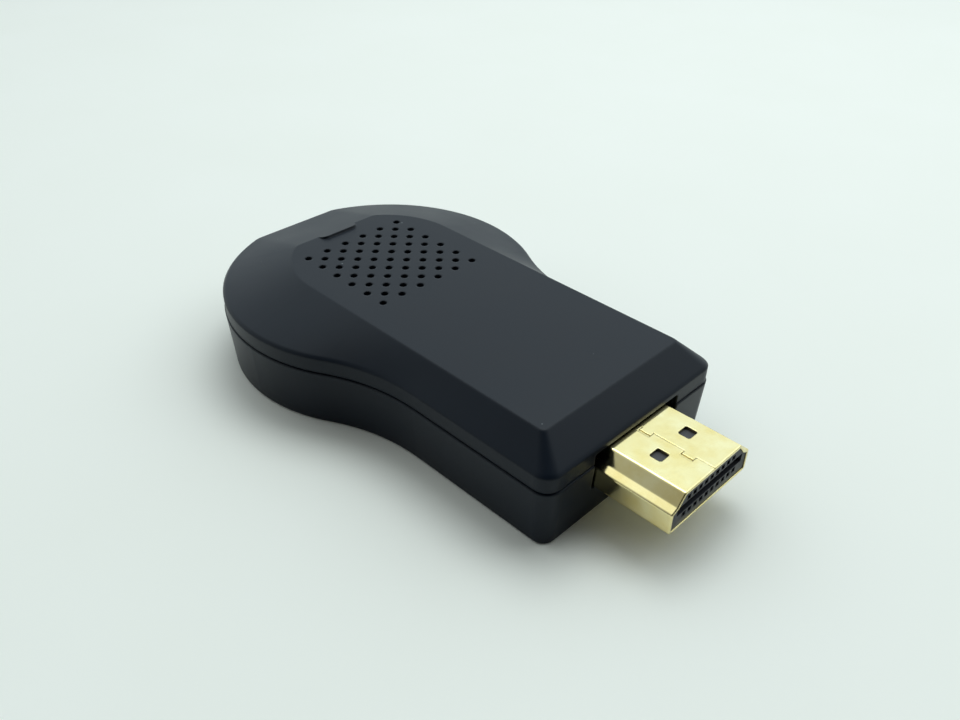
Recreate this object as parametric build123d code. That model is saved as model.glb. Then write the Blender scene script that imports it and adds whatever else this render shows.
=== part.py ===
"""Wireless display dongle: a keyhole-shaped plastic case in two halves, with a gold-plated
display plug at the neck end, a power socket at the round end and a side button.

Millimetres. X runs along the dongle towards the plug, Y across it and Z up.
The origin is the middle of the overall length and width, at the height of the flat underside.
"""
from build123d import *
from math import atan2, cos, degrees, radians, sin, sqrt
import os

# Case outline, seen from above
total_length = 70.5
plug_exposed = 9.3
head_radius = 20.37
tail_cut = 1.05
neck_width = 28.76
blend_radius = 23.7
tail_corner_radius = 3.75
front_corner_radius = 2.0

# Case heights
seam_height = 7.34
rim_height = 9.65
case_height = 12.24

# Raised flat strip on the top of the case
plateau_width = 22.7
front_bevel_length = 3.6
plateau_tail_reach = 9.3
plateau_tail_corner = 1.6
plateau_front_corner = 0.6
rim_chamfer = 0.3

# Case walls
side_wall = 1.2
floor_wall = 1.2
roof_wall = 1.2
lower_draft = 0.45
upper_set_back = 0.10
base_chamfer = 0.2
smallest_corner = 0.3
inner_rim_drop = 0.7
inner_plateau_inset = 0.7
inner_ledge = 0.2
flats_per_arc = 4

# Lip that joins the two halves
lip_height = 0.8
lip_outer_inset = 0.95
lip_clearance = 0.08
seam_groove = 0.18

# Air holes, in a chequered square
vent_pitch = 1.479
vent_radius = 0.48
vent_sides = 9
vents_each_way = 5
vent_centre_from_head = 1.94

# Thumb ridge behind the air holes, where the tail's bevel runs on past the raised strip's edge
ridge_width = 5.9
ridge_reach = 1.1
ridge_corner = 0.9

# Display plug
plug_width = 13.9
plug_height = 4.45
plug_bottom = 4.13
plug_top_width = 9.98
plug_shoulder_height = 2.75
plug_ledge_width = 0.92
plug_ledge_rise = 0.42
plug_sheet = 0.3
plug_length = 13.3
plug_corner = 0.45
plug_shoulder_corner = 0.3
plug_opening_gap = 0.2
plug_opening_corner = 0.35
wing_length = 2.0
wing_reach = 1.3
clamp_rib = 1.0

# Spring windows and the folded seam of the plug's sheet
window_length = 1.5
window_width = 1.62
window_from_mouth = 4.33
window_spacing = 5.0
window_offset = 0.2
bottom_window_spacing = 7.0
window_corner = 0.18
seam_slot = 0.06
seam_offset = 0.05
tab_depth = 0.55
tab_length = 1.5
tab_starts = (2.2, 7.45)
clinch_groove_width = 0.28
clinch_groove_depth = 0.08

# Plug insulator and contacts
insulator_gap = 0.04
insulator_recess = 0.12
insulator_length = 12.9
tongue_slot_width = 11.6
tongue_slot_height = 1.05
tongue_slot_centre = 2.30
contact_pitch = 1.0
upper_contact_count = 9
lower_contact_count = 10
cavity_width = 0.62
cavity_height = 0.62
cavity_from_slot = 0.16
cavity_lip = 0.6
contact_width = 0.3
contact_sheet = 0.2
contact_tip_from_mouth = 0.75
contact_bump_reach = 0.2
bump_from_mouth = 4.1
spring_end = 8.2
slot_end_room = 0.6
contact_bend_gap = 0.15
contact_bend_length = 0.3
tail_reach = 1.8

# Main board
board_thickness = 1.0
board_gap = 0.3
board_to_insulator = 0.6
board_to_plug_side = 0.15

# Posts and screws
post_radius = 1.6
post_sides = 10
front_post_from_mouth = 16.25
front_post_from_side = 4.78
tail_post_from_head = 8.07
tail_post_from_side = 8.37
screw_radius = 0.75
screw_head_radius = 1.4
screw_head_height = 0.7
screw_length = 3.4
screw_clearance = 0.03

# Snap hooks
hook_width = 3.0
hook_thickness = 0.8
hook_clearance = 0.1
hook_barb = 0.4
hook_barb_height = 0.8
hook_barb_flat = 0.2
hook_reach = 2.93
front_hook_from_mouth = 14.25

# Power socket at the round end
socket_width = 7.5
socket_narrow_width = 5.6
socket_height = 2.45
socket_chamfer_height = 1.0
socket_sheet = 0.25
socket_length = 5.2
socket_recess = 0.7
socket_opening_gap = 0.4
socket_opening_corner = 0.8
socket_block_length = 1.5
socket_tongue_width = 3.7
socket_tongue_thickness = 0.6
socket_tongue_drop = 0.55
socket_tongue_recess = 0.9
socket_contact_pitch = 0.65
socket_contact_count = 5
socket_contact_width = 0.3
socket_contact_sheet = 0.12
socket_contact_gap = 0.02
socket_contact_recess = 0.2
socket_foot_length = 0.8
socket_leg_width = 1.0
socket_leg_sheet = 0.25
socket_leg_positions = (1.2, 3.9)
leg_hole_clearance = 0.12

# Side button and its switch
button_from_mouth = 21.25
button_width = 4.4
button_height = 2.2
button_corner = 0.95
button_gap = 0.15
button_proud = 0.3
button_travel = 0.25
flange_border = 0.6
flange_thickness = 0.55
flange_gap = 0.05
switch_width = 4.0
switch_depth = 3.0
switch_height = 1.95
plunger_width = 1.8
plunger_height = 0.9
plunger_gap = 0.05
plunger_in_switch = 1.1
switch_bore_depth = 1.7
press_room = 0.45
switch_cover_sheet = 0.15
switch_cover_border = 0.3

# Board electronics. A gap is to the neighbour that a component stands beside.
processor_size = 14.0
processor_height = 1.2
thermal_pad_height = 0.5
thermal_pad_border = 0.5
heatsink_base = 0.6
heatsink_roof_gap = 0.785
heatsink_fins = 8
heatsink_fin_width = 0.7
memory_length = 13.0
memory_width = 8.0
memory_height = 1.0
memory_gap = 3.8
memory_from_middle = 1.4
flash_size = 5.3
flash_height = 1.6
flash_stand_off = 0.1
flash_lead_reach = 1.2
flash_lead_width = 0.42
flash_lead_pitch = 1.27
flash_lead_sheet = 0.2
radio_from_head = 14.0
radio_board_size = 12.0
radio_board_height = 0.8
shield_border = 0.5
shield_height = 1.4
shield_sheet = 0.2
radio_chip_size = 5.0
radio_chip_height = 0.8
antenna_length = 7.0
antenna_width = 2.0
antenna_height = 0.8
antenna_from_edge = 1.92
antenna_from_head = 2.0
crystal_length = 3.2
crystal_width = 2.5
crystal_height = 0.8
crystal_gap = 3.25
inductor_size = 4.0
inductor_height = 2.0
inductor_from_middle = 3.4
regulator_length = 2.9
regulator_width = 1.6
regulator_height = 1.1
regulator_gap = 3.2
bulk_capacitor_length = 3.5
bulk_capacitor_width = 2.5
bulk_capacitor_height = 1.9
bulk_capacitor_from_middle = 0.55
chip_capacitor_length = 1.6
chip_capacitor_width = 0.8
chip_capacitor_height = 0.8
chip_capacitor_gap = 1.1
chip_capacitor_pitch = 2.2
chip_capacitors_each_side = 6
resistor_length = 1.0
resistor_width = 0.5
resistor_height = 0.35
resistor_gap = 0.45
resistor_pitch = 1.6
resistors_each_side = 6
choke_length = 2.0
choke_width = 1.2
choke_height = 0.9
choke_gap = 1.0
choke_pitch = 2.4
choke_count = 4
led_length = 1.6
led_width = 0.8
led_height = 0.6

# How far a cut runs past the face that it opens, and how near to a level an edge counts as on it
over = 1.0
near = 0.01

# Places worked out from the sizes above
tail_x = -total_length / 2
mouth_x = total_length / 2
front_x = mouth_x - plug_exposed
head_x = tail_x + head_radius - tail_cut
plateau_tail_x = head_x - plateau_tail_reach
cavity_inset = lower_draft + side_wall
board_bottom = plug_bottom + plug_height / 2 - board_thickness / 2
board_top = board_bottom + board_thickness
board_inset = cavity_inset + board_gap
plug_rear_x = mouth_x - plug_length
clamp_x = plug_rear_x + wing_length / 2
insulator_rear_x = mouth_x - insulator_length
board_front_x = insulator_rear_x - board_to_insulator
front_post_y = neck_width / 2 - front_post_from_side
front_posts = [(mouth_x - front_post_from_mouth, side * front_post_y) for side in (-1, 1)]
tail_post_y = head_radius - tail_post_from_side
tail_posts = [(head_x - tail_post_from_head, side * tail_post_y) for side in (-1, 1)]
hook_bottom = seam_height - hook_reach
front_hook_x = mouth_x - front_hook_from_mouth
neck_cavity_y = neck_width / 2 - cavity_inset
head_cavity_y = head_radius - cavity_inset
hooks = [(x, side, wall) for x, wall in ((front_hook_x, neck_cavity_y), (head_x, head_cavity_y))
         for side in (-1, 1)]
button_x = mouth_x - button_from_mouth
button_centre_height = board_bottom - switch_height / 2
flange_outer_y = neck_cavity_y - flange_gap
flange_inner_y = flange_outer_y - flange_thickness
switch_front_y = flange_inner_y - press_room - button_travel
socket_mouth_x = tail_x + socket_recess
socket_bottom = board_bottom - socket_height
upper_cavity_z = tongue_slot_centre + tongue_slot_height / 2 + cavity_from_slot
lower_cavity_z = tongue_slot_centre - tongue_slot_height / 2 - cavity_from_slot - cavity_height
plug_plane = Plane(origin=(mouth_x, 0, plug_bottom), x_dir=(0, 1, 0), z_dir=(1, 0, 0))
socket_plane = Plane(origin=(socket_mouth_x, 0, socket_bottom), x_dir=(0, 1, 0), z_dir=(1, 0, 0))
side_plane = Plane(origin=(button_x, 0, button_centre_height), x_dir=(-1, 0, 0), z_dir=(0, 1, 0))
processor_edge_x = head_x + processor_size / 2
thermal_pad_size = processor_size - 2 * thermal_pad_border
heatsink_bottom = board_top + processor_height + thermal_pad_height
radio_x = head_x + radio_from_head
power_x = socket_mouth_x + socket_length + inductor_size / 2
led_x = processor_edge_x + memory_gap / 2


def block(x0, x1, y0, y1, z0, z1):
    """A box between two corners."""
    middle = ((x0 + x1) / 2, (y0 + y1) / 2, (z0 + z1) / 2)
    return Pos(*middle) * Box(x1 - x0, y1 - y0, z1 - z0)


def chip(x, y, length, width, height, base=board_top):
    """A rectangular component that stands on a face at height base."""
    return Pos(x, y, base + height / 2) * Box(length, width, height)


def hung_chip(x, y, length, width, height, drop=0.0):
    """A rectangular component under the board, whose upper face lies as far below the board as drop."""
    return chip(x, y, length, width, height, board_bottom - drop - height)


def on_circle(centre, radius, angle):
    """The point of a circle at an angle in radians."""
    return (centre[0] + radius * cos(angle), centre[1] + radius * sin(angle))


def arc(centre, radius, start, end):
    """Evenly spaced points of a circular arc, from its start to its end."""
    steps = range(flats_per_arc + 1)
    return [on_circle(centre, radius, start + (end - start) * i / flats_per_arc) for i in steps]


def even_points(start, end):
    """Points of a straight line that faces an arc, as many as the arc has."""
    steps = [i / flats_per_arc for i in range(flats_per_arc + 1)]
    return [(start[0] + (end[0] - start[0]) * t, start[1] + (end[1] - start[1]) * t) for t in steps]


def both_sides(half):
    """All pieces of an outline given by its +Y half, from the tail to the front."""
    back = [piece[::-1] for piece in reversed(half)]
    other = [[(x, -y) for x, y in piece] for piece in half]
    front = [[other[-1][-1], back[0][0]]]
    tail = [[back[-1][-1], other[0][0]]]
    return front + back + tail + other


def closed_face(half):
    """The face inside an outline, with true arcs."""
    edges = []
    for piece in both_sides(half):
        middle = piece[len(piece) // 2]
        straight = len(piece) == 2 or piece[0][1] == middle[1]
        edges.append(Line(piece[0], piece[-1]) if straight else ThreePointArc(piece[0], middle, piece[-1]))
    return Face(Wire(edges))


def flat_sided_solid(low_half, low, high_half, high):
    """A solid between two level outlines with as many points each, closed with flat triangles."""
    low_ring = [(x, y, low) for piece in both_sides(low_half) for x, y in piece[:-1]]
    high_ring = [(x, y, high) for piece in both_sides(high_half) for x, y in piece[:-1]]
    rings = [low_ring, high_ring]
    for i in range(len(low_ring)):
        rings.append([low_ring[i - 1], low_ring[i], high_ring[i]])
        rings.append([low_ring[i - 1], high_ring[i], high_ring[i - 1]])
    return Solid(Shell([Face(Wire.make_polygon(ring)) for ring in rings]))


def plateau_corner(inset):
    """Centre of the raised strip's corner at the tail, and its angle seen from the head's centre."""
    x = -plateau_tail_reach + inset + plateau_tail_corner
    y = sqrt((plateau_width / 2 - inset - plateau_tail_corner) ** 2 - x ** 2)
    return (head_x + x, y), atan2(y, x)


def case_half(inset):
    """The +Y half of the keyhole outline of the case, moved inwards by inset."""
    radius = head_radius - inset
    half_neck = neck_width / 2 - inset
    blend = blend_radius + inset
    tail_corner = tail_corner_radius - inset
    front_corner = max(front_corner_radius - inset, smallest_corner)
    head = (head_x, 0)
    corner_x = tail_x + tail_corner_radius
    corner_y = sqrt((radius - tail_corner) ** 2 - (corner_x - head_x) ** 2)
    corner = (corner_x, corner_y)
    corner_angle = atan2(corner_y, corner_x - head_x)
    blend_y = half_neck + blend
    blend_x = head_x + sqrt((radius + blend) ** 2 - blend_y ** 2)
    blend_angle = atan2(blend_y, blend_x - head_x)
    front = front_x - inset
    front_centre = (front - front_corner, half_neck - front_corner)
    split_angle = plateau_corner(0)[1]
    return [
        arc(corner, tail_corner, radians(180), corner_angle),
        arc(head, radius, corner_angle, split_angle),
        arc(head, radius, split_angle, radians(90)),
        arc(head, radius, radians(90), blend_angle),
        arc((blend_x, blend_y), blend, blend_angle + radians(180), radians(270)),
        [(blend_x, half_neck), (front_centre[0], half_neck)],
        arc(front_centre, front_corner, radians(90), 0),
    ]


def plateau_half(inset):
    """The +Y half of the raised strip's outline, in as many pieces as the case outline, to be joined to it."""
    half_width = plateau_width / 2 - inset
    front_corner = max(plateau_front_corner - inset, plateau_front_corner / 2)
    front = front_x - front_bevel_length - inset
    corner, corner_angle = plateau_corner(inset)
    corner_middle = (radians(180) + corner_angle) / 2
    blend_y = neck_width / 2 + blend_radius
    blend_x = head_x + sqrt((head_radius + blend_radius) ** 2 - blend_y ** 2)
    neck_start = head_x + (blend_x - head_x) * head_radius / (head_radius + blend_radius)
    front_centre = (front - front_corner, half_width - front_corner)
    return [
        arc(corner, plateau_tail_corner, radians(180), corner_middle),
        arc(corner, plateau_tail_corner, corner_middle, corner_angle),
        arc((head_x, 0), half_width, corner_angle, radians(90)),
        even_points((head_x, half_width), (neck_start, half_width)),
        even_points((neck_start, half_width), (blend_x, half_width)),
        [(blend_x, half_width), (front_centre[0], half_width)],
        arc(front_centre, front_corner, radians(90), 0),
    ]


def case_outline(inset, height=0.0):
    """The face inside the case outline at a height."""
    return Pos(0, 0, height) * closed_face(case_half(inset))


def outline_stack(*levels):
    """A solid with straight sides between case outlines, each given as (inset, height)."""
    solid = None
    for (inset, z), (next_inset, next_z) in zip(levels, levels[1:]):
        layer = loft([case_outline(inset, z), case_outline(next_inset, next_z)], ruled=True)
        solid = layer if solid is None else solid + layer
    return solid


def air_holes():
    """The chequered square of holes. So many holes have few flat sides, to keep the part light."""
    steps = range(-vents_each_way, vents_each_way + 1)
    centre_x = head_x + vent_centre_from_head
    places = [(centre_x + row * vent_pitch, column * vent_pitch)
              for row in steps for column in steps if (row + column) % 2 == 0]
    holes = Sketch() + [Pos(x, y) * RegularPolygon(vent_radius, vent_sides) for x, y in places]
    return extrude(Pos(0, 0, case_height - 2 * roof_wall) * holes, amount=3 * roof_wall)


def post(x, y, radius, z0, z1):
    """An upright peg or bore with flat sides, for the posts and screws inside the case."""
    return extrude(Pos(x, y, z0) * RegularPolygon(radius, post_sides), amount=z1 - z0)


def plug_opening():
    """The space in the front wall that the plug comes through."""
    half = plug_width / 2 + plug_opening_gap
    z0 = plug_bottom - plug_opening_gap
    z1 = plug_bottom + plug_height + plug_opening_gap
    shape = block(front_x - cavity_inset - over, front_x + over, -half, half, z0, z1)
    return fillet(shape.edges().filter_by(Axis.X), plug_opening_corner)


def thumb_ridge():
    """The low ridge with a step towards the air holes, level with the tail's bevel on its other side."""
    bevel_foot_x = tail_x + upper_set_back + rim_chamfer
    slope = (case_height - rim_height) / (plateau_tail_x - bevel_foot_x)
    front = plateau_tail_x + ridge_reach
    low = case_height - roof_wall / 2
    profile = Polyline((plateau_tail_x, low), (front, low), (front, case_height + slope * ridge_reach),
                       (plateau_tail_x, case_height), close=True)
    wedge = extrude(Plane.XZ * make_face(profile), amount=ridge_width / 2, both=True)
    length = 2 * ridge_reach + ridge_corner
    outline = Pos(front - length / 2, 0, low) * RectangleRounded(length, ridge_width, ridge_corner)
    return wedge & extrude(outline, amount=roof_wall)


def make_upper_case():
    """The top shell: a low band, a sloping bevel and the raised strip with its air holes."""
    shoulder = upper_set_back + rim_chamfer
    shell = outline_stack((upper_set_back + seam_groove, seam_height),
                          (upper_set_back, seam_height + seam_groove),
                          (upper_set_back, rim_height - rim_chamfer),
                          (shoulder, rim_height))
    plateau = Pos(0, 0, case_height) * closed_face(plateau_half(0))
    shell += loft([case_outline(shoulder, rim_height), plateau], ruled=True)
    shell += thumb_ridge()
    inner_rim = rim_height - inner_rim_drop
    hollow = extrude(case_outline(cavity_inset, seam_height), inner_rim - seam_height)
    hollow += flat_sided_solid(case_half(cavity_inset + inner_ledge), inner_rim,
                               plateau_half(inner_plateau_inset), case_height - roof_wall)
    shell -= hollow
    lip = extrude(case_outline(lip_outer_inset, seam_height - lip_height), lip_height)
    lip -= extrude(case_outline(cavity_inset, seam_height - lip_height), lip_height)
    shell = shell + lip - plug_opening() - air_holes()
    for x, y in front_posts:
        shell += post(x, y, post_radius, board_top, case_height - roof_wall / 2)
    half = plug_top_width / 2 - clamp_rib
    bevel_slope = (case_height - rim_height) / front_bevel_length
    down_the_bevel = clamp_x + clamp_rib - front_x + front_bevel_length
    clamp_top = case_height - bevel_slope * down_the_bevel - roof_wall / 2
    shell += block(clamp_x, clamp_x + clamp_rib, -half, half, plug_bottom + plug_height, clamp_top)
    for x, side, wall in hooks:
        inner = wall - hook_clearance - hook_thickness
        outer = wall - hook_clearance
        tongue = block(x - hook_width / 2, x + hook_width / 2, inner, outer, hook_bottom, inner_rim)
        root = block(x - hook_width / 2, x + hook_width / 2, inner, wall + hook_barb,
                     seam_height + lip_clearance, inner_rim)
        barb_top = hook_bottom + hook_barb_height
        barb_profile = Polyline((outer, hook_bottom), (outer + hook_barb, barb_top - hook_barb_flat),
                                (outer + hook_barb, barb_top), (outer, barb_top), close=True)
        barb = extrude(Plane(origin=(x - hook_width / 2, 0, 0), x_dir=(0, 1, 0), z_dir=(1, 0, 0))
                       * make_face(barb_profile), amount=hook_width)
        hook = tongue + root + barb
        shell += hook if side > 0 else mirror(hook, about=Plane.XZ)
    return shell


def make_lower_case():
    """The bottom shell: drafted walls, a flat floor, posts for the board and three openings."""
    shell = outline_stack((lower_draft + base_chamfer, 0), (lower_draft, base_chamfer), (0, seam_height))
    shell -= extrude(case_outline(cavity_inset, floor_wall), seam_height - floor_wall)
    rebate_depth = lip_height + lip_clearance
    shell -= extrude(case_outline(lip_outer_inset - lip_clearance, seam_height - rebate_depth), rebate_depth)
    shell -= plug_opening()
    for x, y in front_posts + tail_posts:
        shell += post(x, y, post_radius, floor_wall / 2, board_bottom)
    for x, y in tail_posts:
        shell -= post(x, y, screw_radius + screw_clearance, floor_wall, board_bottom)
    half = plug_width / 2 - clamp_rib
    shell += block(clamp_x, clamp_x + clamp_rib, -half, half, floor_wall / 2, plug_bottom)
    for x, side, wall in hooks:
        pocket = block(x - hook_width / 2 - 2 * hook_clearance, x + hook_width / 2 + 2 * hook_clearance,
                       wall - over, wall + hook_barb, hook_bottom - 2 * hook_clearance,
                       hook_bottom + hook_barb_height + hook_clearance)
        shell -= pocket if side > 0 else mirror(pocket, about=Plane.XZ)
    opening = RectangleRounded(socket_width + 2 * socket_opening_gap, socket_height + 2 * socket_opening_gap,
                               socket_opening_corner)
    opening = socket_plane * Pos(0, socket_height / 2, -socket_recess - over) * opening
    shell -= extrude(opening, amount=cavity_inset + 2 * over)
    hole = RectangleRounded(button_width + 2 * button_gap, button_height + 2 * button_gap,
                            button_corner + button_gap)
    shell -= extrude(side_plane * Pos(0, 0, neck_cavity_y - over) * hole, amount=cavity_inset + 2 * over)
    return shell


def make_main_board():
    """The circuit board, cut round the plug, the hooks and the button."""
    board = extrude(case_outline(board_inset, board_bottom), board_thickness)
    half = plug_width / 2 + board_to_plug_side
    low = board_bottom - over
    high = board_top + over
    board -= block(board_front_x, front_x, -half, half, low, high)
    for x, side, wall in hooks:
        depth = hook_thickness + 3 * hook_clearance
        cut = block(x - hook_width / 2 - board_gap, x + hook_width / 2 + board_gap,
                    wall - depth, wall + over, low, high)
        board -= cut if side > 0 else mirror(cut, about=Plane.XZ)
    reach = button_width / 2 + flange_border + board_gap
    board -= block(button_x - reach, button_x + reach, switch_front_y + button_gap, neck_width / 2, low, high)
    for x, y in tail_posts:
        board -= post(x, y, screw_radius + screw_clearance, low, high)
    half_sheet = socket_leg_sheet / 2 + leg_hole_clearance
    for x, y in socket_leg_places():
        board -= block(x - leg_hole_clearance, x + socket_leg_width + leg_hole_clearance,
                       y - half_sheet, y + half_sheet, low, high)
    return board


def make_board_screws():
    """Two pan-head screws."""
    screws = []
    for x, y in tail_posts:
        screw = post(x, y, screw_radius, board_top - screw_length, board_top)
        screws.append(screw + post(x, y, screw_head_radius, board_top, board_top + screw_head_height))
    return Compound(children=screws)


def plug_profile(inset):
    """The plug's section: wide below, with a ledge and a slanting flank up to the narrow top."""
    half = plug_width / 2
    ledge_y = half - plug_ledge_width
    ledge_z = plug_shoulder_height + plug_ledge_rise
    right = [(half, 0), (half, plug_shoulder_height), (ledge_y, ledge_z), (plug_top_width / 2, plug_height)]
    left = [(-y, z) for y, z in reversed(right)]
    face = make_face(Polyline(*right, *left, close=True))
    face = fillet(face.vertices().filter_by_position(Axis.Y, -near, near), plug_corner)
    high = face.vertices().filter_by_position(Axis.Y, plug_shoulder_height - near, plug_height + near)
    face = fillet(high, plug_shoulder_corner)
    return offset(face, -inset) if inset > 0 else face


def through_plug(face, start, end):
    """A plug-section face extruded between two distances behind the mouth."""
    return extrude(plug_plane * Pos(0, 0, -end) * face, amount=end - start)


def plug_block(start, end, y0, y1, z0, z1):
    """A box given by distances behind the mouth, across and above the plug's underside."""
    return block(mouth_x - end, mouth_x - start, y0, y1, plug_bottom + z0, plug_bottom + z1)


def make_plug_shell():
    """The gold-plated sheet shell: spring windows, a folded seam with two clinched tabs, two solder wings."""
    shell = through_plug(plug_profile(0), 0, plug_length)
    mouth_edges = shell.edges().filter_by_position(Axis.X, mouth_x - near, mouth_x + near)
    shell = chamfer(mouth_edges, plug_sheet / 3)
    shell -= through_plug(plug_profile(plug_sheet), -over, plug_length + over)
    top = plug_height
    top_windows = (window_spacing, window_offset, top - 2 * plug_sheet, top + over)
    bottom_windows = (bottom_window_spacing, 0, -over, 2 * plug_sheet)
    for spacing, middle, z0, z1 in (top_windows, bottom_windows):
        for side in (-1, 1):
            y = middle + side * spacing / 2
            window = plug_block(window_from_mouth, window_from_mouth + window_length,
                                y - window_width / 2, y + window_width / 2, z0, z1)
            shell -= chamfer(window.edges().filter_by(Axis.Z), window_corner)
    z0 = top - 1.5 * plug_sheet
    z1 = top + over
    low_y = seam_offset - seam_slot / 2
    high_y = seam_offset + seam_slot / 2
    tab_y = low_y - tab_depth
    cut = None
    run_start = -over
    for start in tab_starts:
        end = start + tab_length
        pieces = [plug_block(run_start, start + seam_slot, low_y, high_y, z0, z1),
                  plug_block(start, start + seam_slot, tab_y, high_y, z0, z1),
                  plug_block(start, end, tab_y, high_y - tab_depth, z0, z1),
                  plug_block(end - seam_slot, end, tab_y, high_y, z0, z1)]
        for piece in pieces:
            cut = piece if cut is None else cut + piece
        cut += plug_block(start, end, tab_y - clinch_groove_width, tab_y + seam_slot / 2,
                          top - clinch_groove_depth, z1)
        run_start = end - seam_slot
    cut += plug_block(run_start, plug_length + over, low_y, high_y, z0, z1)
    shell -= cut
    wing_z = board_bottom - plug_bottom
    for side in (-1, 1):
        y0 = side * (plug_width / 2 - plug_sheet)
        y1 = side * (plug_width / 2 + wing_reach)
        shell += plug_block(plug_length - wing_length, plug_length, min(y0, y1), max(y0, y1),
                            wing_z - plug_sheet, wing_z)
    return shell


def contact_rows():
    """Each row of the plug: across places, cavity height above the underside, and the slot's side."""
    upper = [(i - (upper_contact_count - 1) / 2) * contact_pitch for i in range(upper_contact_count)]
    lower = [(i - (lower_contact_count - 1) / 2) * contact_pitch for i in range(lower_contact_count)]
    return [(upper, upper_cavity_z, -1), (lower, lower_cavity_z, 1)]


def make_plug_insulator():
    """The dark moulding that fills the mouth: a slot between two rows of contact cavities."""
    body = through_plug(plug_profile(plug_sheet + insulator_gap), insulator_recess, insulator_length)
    low = tongue_slot_centre - tongue_slot_height / 2
    high = tongue_slot_centre + tongue_slot_height / 2
    half = tongue_slot_width / 2
    cut = plug_block(-over, spring_end + slot_end_room, -half, half, low, high)
    for places, base, towards in contact_rows():
        for y in places:
            y0 = y - cavity_width / 2
            y1 = y + cavity_width / 2
            cut += plug_block(-over, insulator_length + over, y0, y1, base, base + cavity_height)
            z0 = min(base, tongue_slot_centre)
            z1 = max(base + cavity_height, tongue_slot_centre)
            cut += plug_block(cavity_lip, spring_end, y0, y1, z0, z1)
    return body - cut


def make_contact(y, base, towards):
    """One sprung contact: a tip behind the lip, a bump into the slot and a tail on the board."""
    centre = base + cavity_height / 2
    slot_edge = tongue_slot_centre - towards * tongue_slot_height / 2
    bump = slot_edge + towards * contact_bump_reach
    board_face = (board_top if towards < 0 else board_bottom) - plug_bottom
    tail = board_face - towards * contact_sheet / 2
    side = contact_sheet / 2
    bend = insulator_length + contact_bend_gap
    line = [(contact_tip_from_mouth, centre), (bump_from_mouth, bump), (spring_end, centre),
            (bend, centre), (bend + contact_bend_length, tail),
            (insulator_length + board_to_insulator + tail_reach, tail)]
    profile = [(-x, z + side) for x, z in line] + [(-x, z - side) for x, z in reversed(line)]
    plane = Plane(origin=(mouth_x, y + contact_width / 2, plug_bottom), x_dir=(1, 0, 0), z_dir=(0, -1, 0))
    return extrude(plane * make_face(Polyline(*profile, close=True)), amount=contact_width)


def make_plug_contacts(row):
    """One row of the plug's contacts."""
    places, base, towards = contact_rows()[row]
    return Compound(children=[make_contact(y, base, towards) for y in places])


def socket_profile(inset):
    """The power socket's section, wide against the board."""
    half = socket_width / 2
    narrow = socket_narrow_width / 2
    right = [(narrow, 0), (half, socket_chamfer_height), (half, socket_height)]
    left = [(-y, z) for y, z in reversed(right)]
    face = make_face(Polyline(*right, *left, close=True))
    face = chamfer(face.vertices(), socket_sheet)
    return offset(face, -inset) if inset > 0 else face


def through_socket(face, start, end):
    """A socket-section face extruded between two distances inside the mouth."""
    return extrude(socket_plane * Pos(0, 0, start) * face, amount=end - start)


def socket_leg_places():
    """Where the socket shell's four legs pass through the board."""
    y = socket_width / 2 - socket_leg_sheet / 2
    return [(socket_mouth_x + x, side * y) for x in socket_leg_positions for side in (-1, 1)]


def make_power_socket_shell():
    """The folded steel shell of the power socket, with four legs through the board."""
    shell = through_socket(socket_profile(0), 0, socket_length)
    shell -= through_socket(socket_profile(socket_sheet), -over, socket_length + over)
    middle = socket_bottom + socket_height / 2
    half_sheet = socket_leg_sheet / 2
    for x, y in socket_leg_places():
        shell += block(x, x + socket_leg_width, y - half_sheet, y + half_sheet, middle, board_top)
    return shell


def socket_tongue_top():
    """Height of the upper face of the socket's tongue."""
    return board_bottom - socket_sheet - socket_tongue_drop


def socket_contact_strips(gap):
    """The flat part of each power contact, under the tongue and out through the rear block."""
    top = socket_tongue_top() - socket_tongue_thickness
    start = socket_mouth_x + socket_tongue_recess + socket_contact_recess
    strips = []
    for i in range(socket_contact_count):
        y = (i - (socket_contact_count - 1) / 2) * socket_contact_pitch
        half = socket_contact_width / 2 + gap
        strips.append(block(start, socket_mouth_x + socket_length, y - half, y + half,
                            top - socket_contact_sheet - gap, top))
    return strips


def make_power_socket_insulator():
    """The socket's rear block and the thin tongue that carries the contacts."""
    body = through_socket(socket_profile(socket_sheet + insulator_gap), socket_length - socket_block_length,
                          socket_length)
    top = socket_tongue_top()
    tip_x = socket_mouth_x + socket_tongue_recess
    root_x = socket_mouth_x + socket_length - socket_block_length / 2
    half = socket_tongue_width / 2
    body += block(tip_x, root_x, -half, half, top - socket_tongue_thickness, top)
    for strip in socket_contact_strips(socket_contact_gap):
        body -= strip
    return body


def make_power_socket_contacts():
    """Five flat contacts under the tongue, with tails up to the board behind the socket."""
    rear = socket_mouth_x + socket_length
    contacts = []
    for strip in socket_contact_strips(0):
        box = strip.bounding_box()
        tail = block(rear, rear + socket_contact_sheet, box.min.Y, box.max.Y, box.min.Z, board_bottom)
        foot = block(rear, rear + socket_foot_length, box.min.Y, box.max.Y,
                     board_bottom - socket_contact_sheet, board_bottom)
        contacts.append(strip + tail + foot)
    return Compound(children=contacts)


def make_switch_body():
    """The side-push switch's housing, hung under the board's edge."""
    half = switch_width / 2
    body = block(button_x - half, button_x + half, switch_front_y - switch_depth, switch_front_y,
                 board_bottom - switch_height, board_bottom)
    half = plunger_width / 2 + plunger_gap
    low = button_centre_height - plunger_height / 2 - plunger_gap
    high = button_centre_height + plunger_height / 2 + plunger_gap
    return body - block(button_x - half, button_x + half, switch_front_y - switch_bore_depth,
                        switch_front_y + over, low, high)


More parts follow.
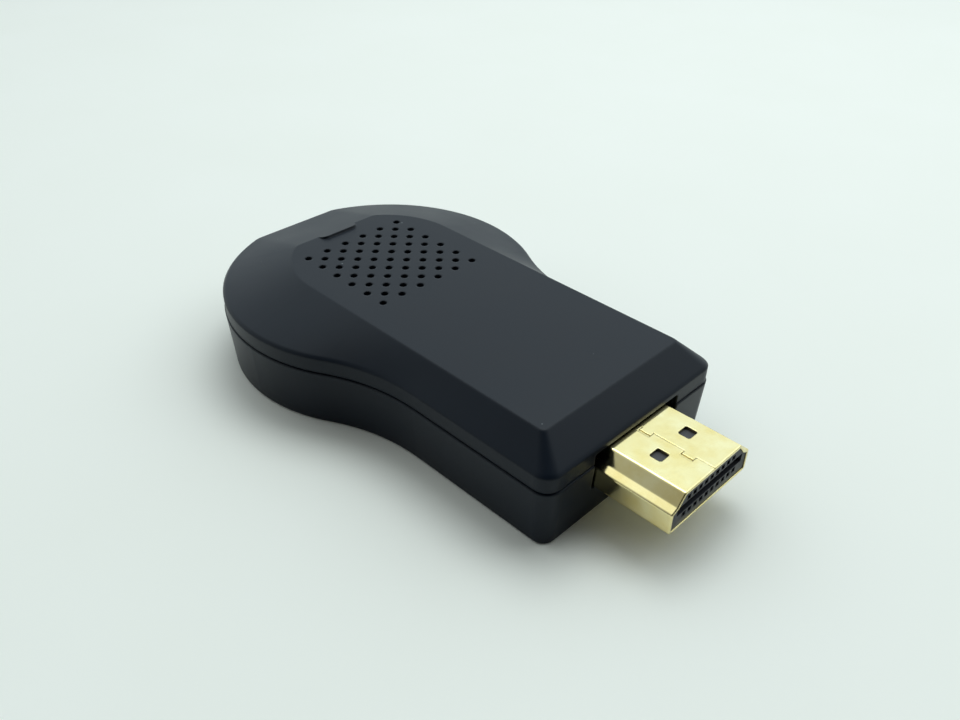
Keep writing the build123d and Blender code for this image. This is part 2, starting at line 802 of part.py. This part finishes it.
def make_switch_cover():
    """The switch's bent steel cover, which wraps its underside and ends."""
    x0 = button_x - switch_width / 2
    x1 = button_x + switch_width / 2
    y0 = switch_front_y - switch_depth + switch_cover_border
    y1 = switch_front_y - switch_cover_border
    base = board_bottom - switch_height
    sheet = switch_cover_sheet
    cover = block(x0 - sheet, x1 + sheet, y0, y1, base - sheet, base)
    cover += block(x0 - sheet, x0, y0, y1, base - sheet, board_bottom)
    cover += block(x1, x1 + sheet, y0, y1, base - sheet, board_bottom)
    return cover


def make_switch_plunger():
    """The part of the switch that the cap pushes."""
    half = plunger_width / 2
    low = button_centre_height - plunger_height / 2
    return block(button_x - half, button_x + half, switch_front_y - plunger_in_switch, flange_inner_y,
                 low, low + plunger_height)


def make_button_cap():
    """The side button: a rounded cap through the wall, with a flange that keeps it in."""
    front_y = neck_width / 2 + button_proud
    outline = RectangleRounded(button_width, button_height, button_corner)
    cap = extrude(side_plane * Pos(0, 0, flange_outer_y) * outline, amount=front_y - flange_outer_y)
    cap = chamfer(cap.edges().filter_by_position(Axis.Y, front_y - near, front_y + near), button_proud / 2)
    flange = side_plane * Pos(0, 0, flange_inner_y) * Rectangle(
        button_width + 2 * flange_border, button_height + flange_border)
    return cap + extrude(flange, amount=flange_thickness)


def make_heatsink():
    """A finned aluminium block on the processor, under the air holes."""
    sink = chip(head_x, 0, processor_size, processor_size, heatsink_base, heatsink_bottom)
    pitch = (processor_size - heatsink_fin_width) / (heatsink_fins - 1)
    height = case_height - roof_wall - heatsink_roof_gap - heatsink_bottom
    for i in range(heatsink_fins):
        y = (i - (heatsink_fins - 1) / 2) * pitch
        sink += chip(head_x, y, processor_size, heatsink_fin_width, height, heatsink_bottom)
    return sink


def make_flash_chip():
    """The eight-legged flash memory, under the board below the processor."""
    body = hung_chip(head_x, 0, flash_size, flash_size, flash_height - flash_stand_off, flash_stand_off)
    for i in range(4):
        x = head_x + (i - 1.5) * flash_lead_pitch
        for side in (-1, 1):
            foot_y = side * (flash_size + flash_lead_reach) / 2
            root_y = side * (flash_size + flash_lead_sheet) / 2
            body += hung_chip(x, foot_y, flash_lead_width, flash_lead_reach, flash_lead_sheet)
            body += hung_chip(x, root_y, flash_lead_width, flash_lead_sheet, flash_height / 2)
    return body


def make_radio_board():
    """The radio module's own small board, under the main board."""
    return hung_chip(radio_x, 0, radio_board_size, radio_board_size, radio_board_height)


def make_radio_shield():
    """The tinned can over the radio chip, open towards its board."""
    size = radio_board_size - 2 * shield_border
    inside = size - 2 * shield_sheet
    can = hung_chip(radio_x, 0, size, size, shield_height, radio_board_height)
    return can - hung_chip(radio_x, 0, inside, inside, shield_height - shield_sheet, radio_board_height)


def make_radio_chip():
    """The radio chip inside the can."""
    return hung_chip(radio_x, 0, radio_chip_size, radio_chip_size, radio_chip_height, radio_board_height)


def make_antenna():
    """The ceramic antenna near the edge of the board's round end."""
    y = head_radius - board_inset - antenna_from_edge - antenna_width / 2
    return chip(head_x + antenna_from_head, y, antenna_length, antenna_width, antenna_height)


def make_processor_crystal():
    """The quartz crystal beside the processor."""
    y = -processor_size / 2 - crystal_gap - crystal_width / 2
    return chip(head_x, y, crystal_length, crystal_width, crystal_height)


def make_chip_capacitors():
    """Small capacitors in rows on both sides of the processor."""
    y = processor_size / 2 + chip_capacitor_gap + chip_capacitor_width / 2
    xs = [head_x + (i - (chip_capacitors_each_side - 1) / 2) * chip_capacitor_pitch
          for i in range(chip_capacitors_each_side)]
    size = (chip_capacitor_length, chip_capacitor_width, chip_capacitor_height)
    return Compound(children=[chip(x, side * y, *size) for x in xs for side in (-1, 1)])


def make_resistors():
    """Small resistors beside the memory chips."""
    y = memory_from_middle + memory_width + resistor_gap + resistor_width / 2
    start = processor_edge_x + memory_gap + resistor_length / 2
    size = (resistor_length, resistor_width, resistor_height)
    return Compound(children=[chip(start + i * resistor_pitch, side * y, *size)
                              for i in range(resistors_each_side) for side in (-1, 1)])


def make_chokes():
    """Signal filters in line with the plug's contacts."""
    x = board_front_x - tail_reach - choke_gap - choke_length / 2
    ys = [(i - (choke_count - 1) / 2) * choke_pitch for i in range(choke_count)]
    return Compound(children=[chip(x, y, choke_length, choke_width, choke_height) for y in ys])


def pair(x, inner_y, length, width, height):
    """Two like components, one on each side of the middle, as far from it as inner_y."""
    y = inner_y + width / 2
    return Compound(children=[chip(x, side * y, length, width, height) for side in (-1, 1)])


nodes = {
    "upper_case": make_upper_case(),
    "lower_case": make_lower_case(),
    "main_board": make_main_board(),
    "board_screws": make_board_screws(),
    "plug_shell": make_plug_shell(),
    "plug_insulator": make_plug_insulator(),
    "plug_contacts_upper": make_plug_contacts(0),
    "plug_contacts_lower": make_plug_contacts(1),
    "power_socket_shell": make_power_socket_shell(),
    "power_socket_insulator": make_power_socket_insulator(),
    "power_socket_contacts": make_power_socket_contacts(),
    "button_cap": make_button_cap(),
    "switch_plunger": make_switch_plunger(),
    "switch_body": make_switch_body(),
    "switch_cover": make_switch_cover(),
    "processor": chip(head_x, 0, processor_size, processor_size, processor_height),
    "thermal_pad": chip(head_x, 0, thermal_pad_size, thermal_pad_size, thermal_pad_height,
                        board_top + processor_height),
    "heatsink": make_heatsink(),
    "memory_chips": pair(processor_edge_x + memory_gap + memory_length / 2, memory_from_middle,
                         memory_length, memory_width, memory_height),
    "flash_chip": make_flash_chip(),
    "radio_board": make_radio_board(),
    "radio_chip": make_radio_chip(),
    "radio_shield": make_radio_shield(),
    "antenna": make_antenna(),
    "processor_crystal": make_processor_crystal(),
    "power_inductors": pair(power_x, inductor_from_middle, inductor_size, inductor_size, inductor_height),
    "bulk_capacitors": pair(power_x, bulk_capacitor_from_middle, bulk_capacitor_length, bulk_capacitor_width,
                            bulk_capacitor_height),
    "voltage_regulators": pair(led_x, processor_size / 2 + regulator_gap, regulator_length, regulator_width,
                               regulator_height),
    "chip_capacitors": make_chip_capacitors(),
    "resistors": make_resistors(),
    "signal_chokes": make_chokes(),
    "status_light": chip(led_x, 0, led_width, led_length, led_height),
}

os.makedirs("parts", exist_ok=True)
for name, shape in nodes.items():
    shape.label = name
    export_step(shape, f"parts/{name}.step")
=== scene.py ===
"""Wireless display dongle, dressed for its picture: camera and studio, then each piece in building order.

Metres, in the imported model's own frame: X runs towards the display plug, Y across the dongle and Z up.
"""
import math

import bpy
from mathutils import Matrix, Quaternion, Vector


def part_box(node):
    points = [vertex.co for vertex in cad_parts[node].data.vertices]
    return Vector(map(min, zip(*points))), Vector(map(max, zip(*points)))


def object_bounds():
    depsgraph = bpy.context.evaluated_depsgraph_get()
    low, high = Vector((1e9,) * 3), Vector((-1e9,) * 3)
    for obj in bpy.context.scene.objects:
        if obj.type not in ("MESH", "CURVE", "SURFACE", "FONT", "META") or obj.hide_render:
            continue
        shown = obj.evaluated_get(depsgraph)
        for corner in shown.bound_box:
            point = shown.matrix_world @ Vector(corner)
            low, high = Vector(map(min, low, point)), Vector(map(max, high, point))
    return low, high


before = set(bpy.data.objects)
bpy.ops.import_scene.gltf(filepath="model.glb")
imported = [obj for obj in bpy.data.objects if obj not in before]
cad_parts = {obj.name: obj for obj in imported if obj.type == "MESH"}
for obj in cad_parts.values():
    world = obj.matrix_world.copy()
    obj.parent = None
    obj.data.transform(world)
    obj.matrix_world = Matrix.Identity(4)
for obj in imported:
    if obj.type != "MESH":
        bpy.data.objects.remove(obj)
cad_low, cad_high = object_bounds()
mm = 0.001

# Camera
# The picture is taken by hand from about 100 mm away, above the corner beside the plug, with a
# slightly wide lens and a roll of one degree.
camera_azimuth = math.radians(-45.59)
camera_elevation = math.radians(35.73)
camera_roll = math.radians(0.91)
camera_distance = 103.2 * mm
camera_target = Vector((5.42, -3.08, 7.95)) * mm
camera_back = Vector((
    math.cos(camera_elevation) * math.cos(camera_azimuth),
    math.cos(camera_elevation) * math.sin(camera_azimuth),
    math.sin(camera_elevation),
))
camera_data = bpy.data.cameras.new("camera")
camera_data.sensor_width = 36
camera_data.lens = 33.2
camera_data.clip_start = 5 * mm
camera_data.clip_end = 10
camera = bpy.data.objects.new("camera", camera_data)
camera.location = camera_target + camera_back * camera_distance
camera.rotation_mode = "QUATERNION"
camera.rotation_quaternion = camera_back.to_track_quat("Z", "Y") @ Quaternion((0, 0, 1), camera_roll)
bpy.context.scene.collection.objects.link(camera)
bpy.context.scene.camera = camera
bpy.context.scene.view_settings.view_transform = "Standard"

# Studio
# The dongle lies on smooth white card, in daylight from a window behind it and one past its round
# end. A little of it comes back from the ceiling and a wall. Two broad soft lamps hang behind it.
card_pale = "#fcfdf7"
card_dark = "#fafbf4"
card_cloud_size = 30 * mm
room_dim = (0.03, 0.03, 0.03)
# Each side has a label, a direction, a narrowness, a strength and a colour.
room_sides = (
    ("rear_window", (0, 0.906, 0.423), 3, 1.29, "#ecfaff"),
    ("end_window", (-0.906, 0, 0.423), 3, 1.18, "#ecfaff"),
    ("ceiling", (-0.36, -0.15, 0.92), 20, 0.72, "#f8faec"),
    ("side_wall", (-0.5, -0.72, 0.48), 8, 0.24, "#f4f7ef"),
)
floor_half_width = 1500 * mm
lamp_size = 300 * mm
lamp_colour = "#f2fbfb"
# Each lamp has a name, a place in millimetres and a power in watts.
lamps = (
    ("rear_lamp", (-100, 175, 436), 0.72),
    ("side_lamp", (178, 278, 350), 0.24),
)

# A Mix node's sockets go by number: its factor, its two colours, and the mixed colour that it gives.
mix_factor = 0
mix_first_colour = 6
mix_second_colour = 7
mixed_colour = 2


def linear(hex_colour):
    """Linear RGBA of an sRGB hex colour."""
    parts = [int(hex_colour[first:first + 2], 16) / 255 for first in (1, 3, 5)]
    return [part / 12.92 if part <= 0.04045 else ((part + 0.055) / 1.055) ** 2.4 for part in parts] + [1.0]


def add_node(tree, kind, inputs=None, **settings):
    """Add a node with its settings. Its inputs are plain values or other nodes' outputs."""
    node = tree.nodes.new(kind)
    for name, value in settings.items():
        setattr(node, name, value)
    for name, value in (inputs or {}).items():
        if isinstance(value, bpy.types.NodeSocket):
            tree.links.new(value, node.inputs[name])
        else:
            node.inputs[name].default_value = value
    return node


def new_material(name, colour, roughness, metallic=0.0, ior=1.5):
    """A material with its constant values set on the shader. Returns it, its node tree and its shader."""
    material = bpy.data.materials.new(name)
    material.use_nodes = True
    shader = material.node_tree.nodes["Principled BSDF"]
    shader.inputs["Base Color"].default_value = linear(colour)
    shader.inputs["Roughness"].default_value = roughness
    shader.inputs["Metallic"].default_value = metallic
    shader.inputs["IOR"].default_value = ior
    return material, material.node_tree, shader


def mottle(tree, shader, size, colours, roughness):
    """Give a surface slow changes between two colours and two grades of gloss, drawn at a size."""
    place = add_node(tree, "ShaderNodeTexCoord")
    cloud = add_node(tree, "ShaderNodeTexNoise",
                     {"Vector": place.outputs["Object"], "Scale": 1 / size, "Detail": 3.0})
    # The noise lies mostly between 0.3 and 0.7.
    amount = add_node(tree, "ShaderNodeMapRange",
                      {"Value": cloud.outputs["Fac"], "From Min": 0.3, "From Max": 0.7})
    first, second = colours
    tint = add_node(tree, "ShaderNodeMix", {
        mix_factor: amount.outputs["Result"], mix_first_colour: linear(first),
        mix_second_colour: linear(second)}, data_type="RGBA")
    glossiest, dullest = roughness
    gloss = add_node(tree, "ShaderNodeMapRange",
                     {"Value": amount.outputs["Result"], "To Min": glossiest, "To Max": dullest})
    tree.links.new(tint.outputs[mixed_colour], shader.inputs["Base Color"])
    tree.links.new(gloss.outputs["Result"], shader.inputs["Roughness"])


# Card has a faint cloudiness from its fibres, drawn at 30 mm.
card, tree, shader = new_material("white_card", card_pale, roughness=0.75)
mottle(tree, shader, size=card_cloud_size, colours=(card_dark, card_pale), roughness=(0.7, 0.8))
floor_mesh = bpy.data.meshes.new("floor")
corner_signs = ((-1, -1), (1, -1), (1, 1), (-1, 1))
corners = [(x * floor_half_width, y * floor_half_width, cad_low.z) for x, y in corner_signs]
floor_mesh.from_pydata(corners, [], [(0, 1, 2, 3)])
floor_mesh.materials.append(card)
floor = bpy.data.objects.new("floor", floor_mesh)
bpy.context.scene.collection.objects.link(floor)

# Each side of the room is a soft patch of light, brightest in its middle and gone a right angle away.
world = bpy.data.worlds.new("room")
world.use_nodes = True
bpy.context.scene.world = world
tree = world.node_tree
place = add_node(tree, "ShaderNodeTexCoord")
total = room_dim
for side, towards, narrowness, strength, colour in room_sides:
    facing = add_node(tree, "ShaderNodeVectorMath",
                      {0: place.outputs["Generated"], 1: Vector(towards).normalized()},
                      operation="DOT_PRODUCT", label=side)
    front = add_node(tree, "ShaderNodeMath", {0: facing.outputs["Value"], 1: 0.0}, operation="MAXIMUM")
    patch = add_node(tree, "ShaderNodeMath", {0: front.outputs["Value"], 1: narrowness}, operation="POWER")
    light = Vector(linear(colour)[:3]) * strength
    total = add_node(tree, "ShaderNodeVectorMath", {0: patch.outputs["Value"], 1: light, 2: total},
                     operation="MULTIPLY_ADD").outputs["Vector"]
tree.links.new(total, tree.nodes["Background"].inputs["Color"])

for name, place_mm, power in lamps:
    lamp_data = bpy.data.lights.new(name, "AREA")
    lamp_data.shape = "DISK"
    lamp_data.size = lamp_size
    lamp_data.energy = power
    lamp_data.color = linear(lamp_colour)[:3]
    lamp = bpy.data.objects.new(name, lamp_data)
    lamp.location = Vector(place_mm) * mm
    lamp.rotation_mode = "QUATERNION"
    lamp.rotation_quaternion = lamp.location.to_track_quat("Z", "Y")
    bpy.context.scene.collection.objects.link(lamp)

# Lower case
# The bottom half of the housing is injection moulded in black ABS, in a tool with a fine satin
# texture. Its walls lean out towards the seam, and it lies on its flat floor.
case_black = "#0a131f"
case_black_pale = "#0c1622"
case_grain_size = 0.12 * mm
case_flow_size = 9.0 * mm
case_edge_radius = 0.4 * mm
case_shine = 0.178


def cover(material, *names):
    """Give CAD nodes this material alone."""
    for name in names:
        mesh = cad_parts[name].data
        mesh.materials.clear()
        mesh.materials.append(material)


def grain(tree, shader, size, strength, depth, edge_radius=0.0):
    """Give a surface a fine grain of a size and depth, and edges that look as round as edge_radius."""
    place = add_node(tree, "ShaderNodeTexCoord")
    noise = add_node(tree, "ShaderNodeTexNoise",
                     {"Vector": place.outputs["Object"], "Scale": 1 / size, "Detail": 2.0})
    bump = add_node(tree, "ShaderNodeBump",
                    {"Height": noise.outputs["Fac"], "Strength": strength, "Distance": depth})
    if edge_radius:
        edge = add_node(tree, "ShaderNodeBevel", {"Radius": edge_radius}, samples=6)
        tree.links.new(edge.outputs["Normal"], bump.inputs["Normal"])
    tree.links.new(bump.outputs["Normal"], shader.inputs["Normal"])


def satin_abs(name):
    """ABS from a satin tool: soft highlights, slow changes in gloss and a grain drawn coarse, at 0.12 mm."""
    material, tree, shader = new_material(name, case_black, roughness=0.4, ior=1.54)
    shader.inputs["Specular IOR Level"].default_value = case_shine
    mottle(tree, shader, size=case_flow_size, colours=(case_black, case_black_pale), roughness=(0.37, 0.43))
    grain(tree, shader, size=case_grain_size, strength=0.2, depth=0.01 * mm, edge_radius=case_edge_radius)
    return material, tree, shader


abs_satin, tree, shader = satin_abs("abs_satin_moulded")
cover(abs_satin, "lower_case")

# Main board
# A 1 mm board of glass cloth and epoxy lies on four posts, cut out round the plug, the snap hooks
# and the button. Copper tracks show pale through its green solder mask, with tinned vias between,
# whose open holes are painted shade.
mask_green = "#0f4428"
mask_green_pale = "#124b2c"
mask_on_copper = "#1f7046"
via_tin = "#c4c2b6"
track_pitch = 0.8 * mm
track_run = 7.0 * mm
track_width = 0.1 * mm
via_spacing = 2.6 * mm
via_radius = 0.3 * mm
via_hole_shade_radius = 0.14 * mm

# A Mix node's sockets for two numbers, and for the mixed number that it gives
mix_first_number = 2
mix_second_number = 3
mixed_number = 0


def overlay(tree, shader, mask, colour, roughness, metallic):
    """Lay another finish over a material where a mask is 1."""
    finish = {"Base Color": linear(colour), "Roughness": roughness, "Metallic": metallic}
    for name, value in finish.items():
        socket = shader.inputs[name]
        under = socket.links[0].from_socket if socket.is_linked else socket.default_value
        if name == "Base Color":
            kind, below, above, mixed = "RGBA", mix_first_colour, mix_second_colour, mixed_colour
        else:
            kind, below, above, mixed = "FLOAT", mix_first_number, mix_second_number, mixed_number
        mix = add_node(tree, "ShaderNodeMix", {mix_factor: mask, below: under, above: value}, data_type=kind)
        tree.links.new(mix.outputs[mixed], socket)


# Solder mask is a glossy coat of green lacquer, paler on copper, over the cloth's faint weave.
solder_mask, tree, shader = new_material("solder_mask_green", mask_green, roughness=0.28, ior=1.52)
place = add_node(tree, "ShaderNodeTexCoord")
tracks = add_node(tree, "ShaderNodeTexBrick", {
    "Vector": place.outputs["Object"], "Color1": linear(mask_green), "Color2": linear(mask_green_pale),
    "Mortar": linear(mask_on_copper), "Scale": 1 / mm, "Mortar Size": track_width / mm,
    "Brick Width": track_run / mm, "Row Height": track_pitch / mm})
tree.links.new(tracks.outputs["Color"], shader.inputs["Base Color"])
vias = add_node(tree, "ShaderNodeTexVoronoi", {"Vector": place.outputs["Object"], "Scale": 1 / via_spacing},
                voronoi_dimensions="2D")
ring = add_node(tree, "ShaderNodeMath", {0: vias.outputs["Distance"], 1: via_radius / via_spacing},
                operation="LESS_THAN")
# The dark, dull disc in the middle of each tinned ring is painted shade, standing in for the via's open
# hole.
hole_shade = add_node(tree, "ShaderNodeMath", {0: vias.outputs["Distance"], 1: via_hole_shade_radius / via_spacing},
                operation="LESS_THAN")
overlay(tree, shader, ring.outputs["Value"], via_tin, roughness=0.35, metallic=1.0)
overlay(tree, shader, hole_shade.outputs["Value"], "#0a0c0b", roughness=0.8, metallic=0.0)
grain(tree, shader, size=0.6 * mm, strength=0.2, depth=0.02 * mm)
cover(solder_mask, "main_board")

# Board screws
# Two pan-head steel screws, zinc plated, hold the board down on the posts near the round end.
# Zinc plate is a pale bluish grey with soft spots in its gloss.
zinc_plate, tree, shader = new_material("zinc_plated_screw_steel", "#b9bdc0", roughness=0.3, metallic=1.0)
mottle(tree, shader, size=0.5 * mm, colours=("#aeb3b8", "#c6c8c6"), roughness=(0.24, 0.36))
grain(tree, shader, size=0.08 * mm, strength=0.3, depth=0.005 * mm)
cover(zinc_plate, "board_screws")

# Display plug
# The plug's shell is thin steel sheet, folded round and clinched on top, then plated with nickel
# and bright gold. A dark moulding inside it carries two rows of gold-flashed contacts.
gold_bright = "#f3e8b5"
gold_handled = "#e9d795"
gold_smudge_size = 2.2 * mm
gold_edge_radius = 0.15 * mm
pbt_grey = "#25262d"
pbt_grey_pale = "#2d2e35"

# Thin bright gold over nickel is pale and almost a mirror, with slightly brown, duller finger marks.
gold_plate, tree, shader = new_material("gold_plated_sheet", gold_bright, roughness=0.15, metallic=1.0)
mottle(tree, shader, size=gold_smudge_size, colours=(gold_bright, gold_handled), roughness=(0.11, 0.14))
grain(tree, shader, size=0.3 * mm, strength=0.12, depth=0.01 * mm, edge_radius=gold_edge_radius)
cover(gold_plate, "plug_shell")

# A flash of gold on phosphor bronze is deeper in colour, and the bent strip is duller than the shell.
contact_gold, tree, shader = new_material("gold_flashed_contact", "#e6cf86", roughness=0.25, metallic=1.0)
mottle(tree, shader, size=0.4 * mm, colours=("#ddc277", "#ecd994"), roughness=(0.2, 0.32))
cover(contact_gold, "plug_contacts_upper", "plug_contacts_lower")

# Glass-filled PBT comes matt from the tool, dark grey with a slight violet cast.
pbt_dark, tree, shader = new_material("pbt_dark_moulded", pbt_grey, roughness=0.5)
mottle(tree, shader, size=0.8 * mm, colours=(pbt_grey, pbt_grey_pale), roughness=(0.46, 0.56))
grain(tree, shader, size=0.08 * mm, strength=0.3, depth=0.008 * mm, edge_radius=0.04 * mm)
cover(pbt_dark, "plug_insulator")

# Power socket
# The socket's shell is stainless sheet, folded round, nickel plated and soldered to the board by
# four legs. Its dark tongue carries five flat contacts, and it sits in an opening at the round end.

# Nickel plate is a pale, slightly warm grey with soft, uneven gloss.
nickel_plate, tree, shader = new_material("nickel_plated_sheet", "#c3c3c0", roughness=0.22, metallic=1.0)
mottle(tree, shader, size=1.5 * mm, colours=("#b8b8b5", "#cccbc7"), roughness=(0.18, 0.3))
grain(tree, shader, size=0.15 * mm, strength=0.2, depth=0.006 * mm, edge_radius=0.05 * mm)
cover(nickel_plate, "power_socket_shell")
cover(pbt_dark, "power_socket_insulator")
cover(contact_gold, "power_socket_contacts")

# Side button
# The cap is black ABS like the case. Its flange keeps it in the wall, and it presses the plunger of
# a small side-push switch that hangs under the board's edge, a dark moulding in a bent steel cover.
cover(abs_satin, "button_cap")
cover(pbt_dark, "switch_plunger", "switch_body")
cover(nickel_plate, "switch_cover")

# Processor, memory and heatsink
# The processor and its two memory chips are packages of moulded epoxy. A soft silicone pad carries
# the heat into an extruded heatsink with eight fins, anodised black, dark through the air holes.

# Moulded epoxy is nearly black and matt, with a fine sandy surface.
epoxy_black, tree, shader = new_material("epoxy_moulded_package", "#17181a", roughness=0.45)
mottle(tree, shader, size=3.0 * mm, colours=("#151618", "#1c1d20"), roughness=(0.4, 0.55))
grain(tree, shader, size=0.07 * mm, strength=0.5, depth=0.01 * mm, edge_radius=0.05 * mm)
cover(epoxy_black, "processor", "memory_chips")

# A silicone gap pad is matt and rubbery, grey blue with the filler's fine speckle.
silicone_pad, tree, shader = new_material("silicone_gap_pad", "#7f8ba0", roughness=0.8)
mottle(tree, shader, size=0.35 * mm, colours=("#76829a", "#8b96a8"), roughness=(0.7, 0.9))
grain(tree, shader, size=0.2 * mm, strength=0.4, depth=0.03 * mm)
cover(silicone_pad, "thermal_pad")

# Black anodised aluminium keeps the fine lines of the extrusion, along the fins.
anodised_black, tree, shader = new_material("anodised_aluminium_black", "#191a1c",
                                            roughness=0.5, metallic=0.3)
mottle(tree, shader, size=2.0 * mm, colours=("#151618", "#1e1f22"), roughness=(0.42, 0.55))
place = add_node(tree, "ShaderNodeTexCoord")
along = add_node(tree, "ShaderNodeMapping", {"Vector": place.outputs["Object"], "Scale": (0.03, 1.0, 1.0)})
lines = add_node(tree, "ShaderNodeTexNoise", {"Vector": along.outputs["Vector"], "Scale": 1 / (0.1 * mm)})
bump = add_node(tree, "ShaderNodeBump",
                {"Height": lines.outputs["Fac"], "Strength": 0.3, "Distance": 0.01 * mm})
tree.links.new(bump.outputs["Normal"], shader.inputs["Normal"])
cover(anodised_black, "heatsink")

# Flash memory
# The flash chip hangs under the board: an epoxy package with four bent legs on each side.
# The legs are copper alloy with a matt tin plate, told from the package by their place.
flash_leg_reach = 1.2 * mm
flash_epoxy, tree, shader = new_material("epoxy_package_tinned_legs", "#17181a", roughness=0.45)
mottle(tree, shader, size=2.0 * mm, colours=("#151618", "#1c1d20"), roughness=(0.4, 0.55))
place = add_node(tree, "ShaderNodeTexCoord")
across = add_node(tree, "ShaderNodeSeparateXYZ", {"Vector": place.outputs["Object"]})
from_middle = add_node(tree, "ShaderNodeMath", {0: across.outputs["Y"]}, operation="ABSOLUTE")
leg_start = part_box("flash_chip")[1].y - flash_leg_reach
legs = add_node(tree, "ShaderNodeMath", {0: from_middle.outputs["Value"], 1: leg_start},
                operation="GREATER_THAN")
overlay(tree, shader, legs.outputs["Value"], "#bdbdba", roughness=0.35, metallic=1.0)
grain(tree, shader, size=0.07 * mm, strength=0.5, depth=0.01 * mm)
cover(flash_epoxy, "flash_chip")

# Radio module
# The radio sits on its own small board under the main board, in a tinned steel can. Its antenna is
# a bar of pale ceramic, and the crystal by the processor has a can of the same tinned sheet.
cover(solder_mask, "radio_board")
cover(epoxy_black, "radio_chip")

# Tin plate is pale and softly bright, a little cloudy.
tin_plate, tree, shader = new_material("tin_plated_sheet", "#c2c1bd", roughness=0.34, metallic=1.0)
mottle(tree, shader, size=1.2 * mm, colours=("#b4b4b1", "#cfcec9"), roughness=(0.28, 0.42))
grain(tree, shader, size=0.25 * mm, strength=0.25, depth=0.01 * mm, edge_radius=0.08 * mm)
cover(tin_plate, "radio_shield", "processor_crystal")

# Each fired part has tinned ends, which are told from its body by their place along X.
cap_tin = "#c6c5c0"


def tinned_ends(tree, shader, node, length, pitch, cap):
    """Tin the ends of chips of one length that repeat along X at a pitch, from the node's lowest X."""
    place = add_node(tree, "ShaderNodeTexCoord")
    along = add_node(tree, "ShaderNodeSeparateXYZ", {"Vector": place.outputs["Object"]})
    # The nudge keeps rounding from moving the row's first edge to the end of a pitch.
    nudge = 0.01 * mm
    start = add_node(tree, "ShaderNodeMath", {0: along.outputs["X"], 1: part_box(node)[0].x - nudge},
                     operation="SUBTRACT")
    step = add_node(tree, "ShaderNodeMath", {0: start.outputs["Value"], 1: pitch}, operation="MODULO")
    offset = add_node(tree, "ShaderNodeMath", {0: step.outputs["Value"], 1: length / 2 + nudge},
                      operation="SUBTRACT")
    distance = add_node(tree, "ShaderNodeMath", {0: offset.outputs["Value"]}, operation="ABSOLUTE")
    ends = add_node(tree, "ShaderNodeMath", {0: distance.outputs["Value"], 1: length / 2 - cap},
                    operation="GREATER_THAN")
    overlay(tree, shader, ends.outputs["Value"], cap_tin, roughness=0.35, metallic=1.0)


# The antenna's ceramic is chalk white, with a slight sheen.
antenna_ceramic, tree, shader = new_material("fired_ceramic_pale", "#dcdbd3", roughness=0.4)
mottle(tree, shader, size=1.0 * mm, colours=("#d5d4cb", "#e2e1da"), roughness=(0.34, 0.46))
antenna_low, antenna_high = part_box("antenna")
antenna_length = antenna_high.x - antenna_low.x
tinned_ends(tree, shader, "antenna", antenna_length, pitch=2 * antenna_length, cap=0.5 * mm)
grain(tree, shader, size=0.1 * mm, strength=0.3, depth=0.008 * mm, edge_radius=0.06 * mm)
cover(antenna_ceramic, "antenna")

# Power and small parts
# Coils and chokes are sintered ferrite, capacitors fired ceramic and resistors a dark film on white
# ceramic, all soldered by tinned ends, in rows along X. The voltage regulators are moulded epoxy.
cover(epoxy_black, "voltage_regulators")

# Each row has a node, a material, two colours, a roughness, and the length of one chip, the chips'
# pitch and the length of a tinned end in millimetres.
small_parts = (
    ("power_inductors", "sintered_ferrite_coil", ("#2b2b2d", "#353537"), 0.6, 4.0, 8.0, 0.7),
    ("signal_chokes", "sintered_ferrite_choke", ("#2a2a2c", "#343436"), 0.6, 2.0, 4.0, 0.35),
    ("bulk_capacitors", "fired_ceramic_tan_large", ("#a58763", "#b3946f"), 0.45, 3.5, 7.0, 0.5),
    ("chip_capacitors", "fired_ceramic_tan_small", ("#a08260", "#b0916c"), 0.45, 1.6, 2.2, 0.32),
    ("resistors", "resistor_film_on_ceramic", ("#1d1e20", "#26272a"), 0.4, 1.0, 1.6, 0.22),
)
for node, name, colours, roughness, length, pitch, cap in small_parts:
    fired, tree, shader = new_material(name, colours[0], roughness)
    mottle(tree, shader, size=0.6 * mm, colours=colours, roughness=(roughness - 0.06, roughness + 0.08))
    tinned_ends(tree, shader, node, length * mm, pitch * mm, cap * mm)
    grain(tree, shader, size=0.09 * mm, strength=0.35, depth=0.01 * mm, edge_radius=0.06 * mm)
    cover(fired, node)

# Status light
# The light is a small chip on the board, under the case. It is cast in clear epoxy, pale yellow from
# the phosphor inside, glossy and slightly milky.
light_epoxy, tree, shader = new_material("clear_epoxy_over_phosphor", "#e3d98f", roughness=0.15, ior=1.53)
mottle(tree, shader, size=0.5 * mm, colours=("#d9cc78", "#ece6b4"), roughness=(0.1, 0.22))
shader.inputs["Subsurface Weight"].default_value = 0.3
shader.inputs["Subsurface Radius"].default_value = (0.3 * mm, 0.25 * mm, 0.1 * mm)
cover(light_epoxy, "status_light")

# Upper case
# The top half is the same black ABS, snapped on with four hooks. It has gathered a few specks of
# pale dust, about 0.2 mm across.
dust_spacing = 4.0 * mm
dust_radius = 0.12 * mm

# The dust lies dull and grey on the satin black.
abs_dusty, tree, shader = satin_abs("abs_satin_moulded_dusty")
place = add_node(tree, "ShaderNodeTexCoord")
specks = add_node(tree, "ShaderNodeTexVoronoi",
                  {"Vector": place.outputs["Object"], "Scale": 1 / dust_spacing})
dust = add_node(tree, "ShaderNodeMapRange", {
    "Value": specks.outputs["Distance"], "From Min": dust_radius / dust_spacing, "From Max": 0.0,
    "To Min": 0.0, "To Max": 0.9})
overlay(tree, shader, dust.outputs["Result"], "#9aa3a6", roughness=0.9, metallic=0.0)
cover(abs_dusty, "upper_case")
